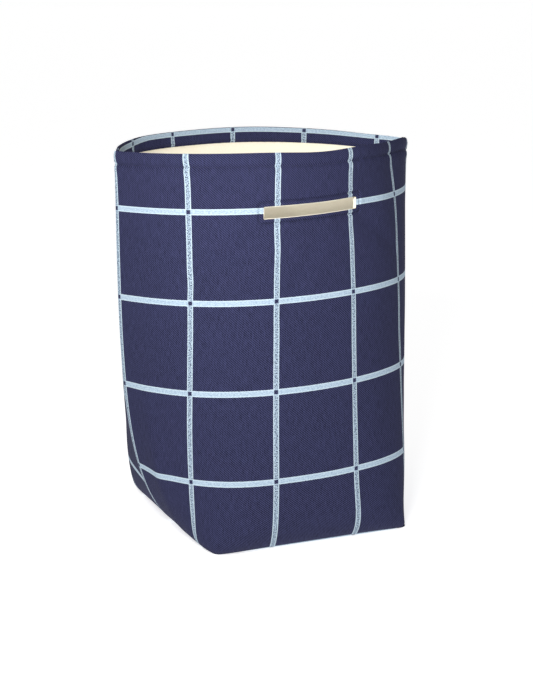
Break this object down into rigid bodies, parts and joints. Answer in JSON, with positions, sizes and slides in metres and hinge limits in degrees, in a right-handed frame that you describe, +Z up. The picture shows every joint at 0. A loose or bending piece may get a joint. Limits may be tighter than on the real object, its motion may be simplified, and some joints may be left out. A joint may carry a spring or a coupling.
{
  "type": "fabric storage bin",
  "caption": "Tall free-standing fabric bin with a flat rectangular base, pointed-oval rim, turned-in hem, plain lining and open hand slots.",
  "frame": {"origin": "middle of the flat base, on the floor", "axes": "+Z up, -Y the way the front panel faces, +X to the right as seen from the front"},
  "size_m": [0.5127, 0.4267, 0.584],
  "materials": {
    "check_cloth": "cotton twill, navy with a light blue windowpane check",
    "lining_cloth": "plain cream cotton",
    "padding": "needled felt",
    "board": "stiff sheet",
    "thread": "matt sewing thread"
  },
  "bodies": {
    "root": {"outer_front_panel": "check_cloth", "outer_back_panel": "check_cloth", "outer_base_panel": "check_cloth", "stiffener_front": "padding", "stiffener_back": "padding", "lining_front_panel": "lining_cloth", "lining_back_panel": "lining_cloth", "lining_base_panel": "lining_cloth", "base_board": "board", "base_seam_allowance": "check_cloth", "side_seam_allowance_left": "check_cloth", "side_seam_allowance_right": "check_cloth", "slot_facing_front": "lining_cloth", "slot_facing_back": "lining_cloth", "slot_stitching_front": "thread", "slot_stitching_back": "thread", "hem_stitching_front": "thread", "hem_stitching_back": "thread"}
  },
  "joints": []
}
